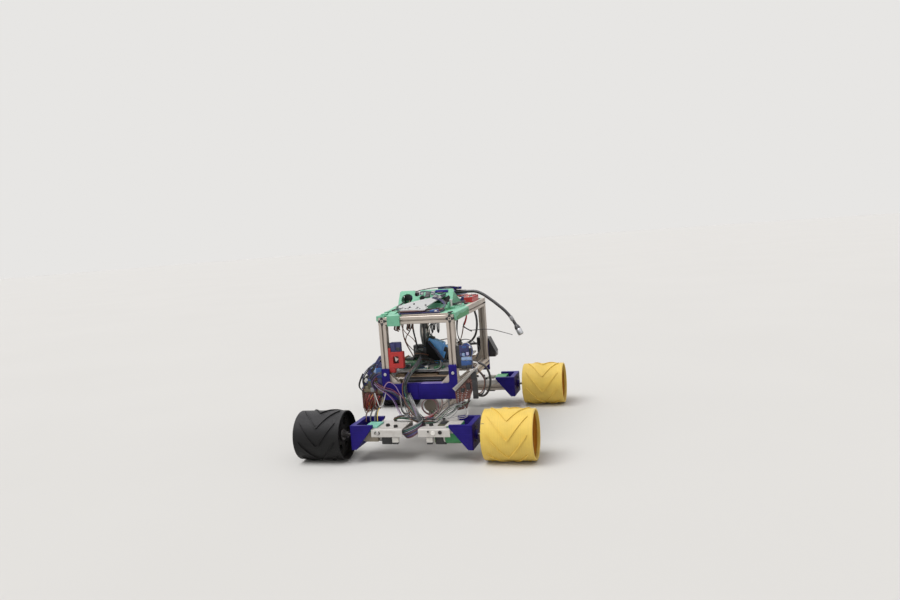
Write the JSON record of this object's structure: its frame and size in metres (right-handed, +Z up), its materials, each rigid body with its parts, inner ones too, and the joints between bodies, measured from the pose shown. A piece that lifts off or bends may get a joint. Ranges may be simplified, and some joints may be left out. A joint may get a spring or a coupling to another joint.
{
  "type": "four-wheel planetary rover prototype",
  "caption": "Small laboratory rover: an electronics cage of slotted bars on a ladder frame, carried by a wide printed drum wheel at each corner.",
  "frame": {"origin": "on the ground, midway between the front and rear axles and between the wheels", "axes": "+X across the axles, to the right as seen from the front; the front faces -Y; +Z up"},
  "size_m": [0.47, 0.56, 0.312],
  "materials": {
    "bar_aluminium": "satin anodised, fine drawn grain",
    "battery_wrap": "shrink wrap",
    "black_plastic": "moulded",
    "black_wheel_print": "layered printed plastic",
    "blue_print": "layered printed plastic",
    "can_metal": "brushed",
    "circuit_board_blue": "solder mask",
    "circuit_board_dark": "solder mask",
    "green_print": "layered printed plastic",
    "grey_tray": "matt sheet",
    "lead_rubber": "smooth jacket",
    "mint_print": "layered printed plastic",
    "motor_metal": "brushed can",
    "plug_grey": "moulded",
    "red_print": "layered printed plastic",
    "steel": "turned",
    "strip_board": "copper strip board",
    "tan_board": "thin board",
    "white_panel": "matt sheet",
    "white_sheet_metal": "painted, scuffed",
    "yellow_wheel_print": "layered printed plastic"
  },
  "bodies": {
    "chassis": {"arm_brackets_front": "white_sheet_metal", "arm_brackets_rear": "white_sheet_metal", "axle_beam_front": "bar_aluminium", "axle_beam_rear": "bar_aluminium", "base_crossbars": "bar_aluminium", "battery": "battery_wrap", "blue_converter": "circuit_board_blue", "cable_socket": "circuit_board_dark", "computer": "green_print", "corner_brackets": "bar_aluminium", "deck": "mint_print", "deck_board": "circuit_board_dark", "deck_housing": "mint_print", "fascia_front_left": "blue_print", "fascia_front_right": "blue_print", "fascia_rear": "blue_print", "gearmotors_front": "motor_metal", "gearmotors_rear": "motor_metal", "knuckle_front_left": "blue_print", "knuckle_front_right": "blue_print", "knuckle_rear_left": "blue_print", "knuckle_rear_right": "blue_print", "lead_plug": "plug_grey", "lower_tray": "tan_board", "motor_clamps_front": "green_print", "motor_clamps_rear": "green_print", "perfboard_left": "strip_board", "perfboard_right": "strip_board", "post_front_left": "bar_aluminium", "post_front_right": "bar_aluminium", "post_rear_left": "bar_aluminium", "post_rear_right": "bar_aluminium", "power_lead": "lead_rubber", "power_pack": "black_plastic", "rail_left": "bar_aluminium", "rail_right": "bar_aluminium", "rear_box": "black_plastic", "red_bracket": "red_print", "red_module": "red_print", "round_can": "can_metal", "shelf_right": "grey_tray", "side_board_left": "circuit_board_blue", "side_module_right": "circuit_board_blue", "sills": "bar_aluminium", "sloped_panel": "white_panel", "spine": "bar_aluminium", "spine_uprights": "bar_aluminium", "top_bar_front": "bar_aluminium", "top_bar_rear": "bar_aluminium", "upper_tray": "grey_tray"},
    "front_left_wheel": {"wheel_front_left": "black_wheel_print", "hub_front_left": "steel"},
    "front_right_wheel": {"wheel_front_right": "yellow_wheel_print", "hub_front_right": "steel"},
    "rear_left_wheel": {"wheel_rear_left": "black_wheel_print", "hub_rear_left": "steel"},
    "rear_right_wheel": {"wheel_rear_right": "yellow_wheel_print", "hub_rear_right": "steel"}
  },
  "joints": [
    {"name": "front_left_wheel_spin", "type": "hinge", "parent": "chassis", "child": "front_left_wheel", "pos_m": [-0.187, -0.23, 0.05], "axis": [1, 0, 0], "continuous": true},
    {"name": "front_right_wheel_spin", "type": "hinge", "parent": "chassis", "child": "front_right_wheel", "pos_m": [0.187, -0.23, 0.05], "axis": [1, 0, 0], "continuous": true},
    {"name": "rear_left_wheel_spin", "type": "hinge", "parent": "chassis", "child": "rear_left_wheel", "pos_m": [-0.187, 0.23, 0.05], "axis": [1, 0, 0], "continuous": true},
    {"name": "rear_right_wheel_spin", "type": "hinge", "parent": "chassis", "child": "rear_right_wheel", "pos_m": [0.187, 0.23, 0.05], "axis": [1, 0, 0], "continuous": true}
  ]
}
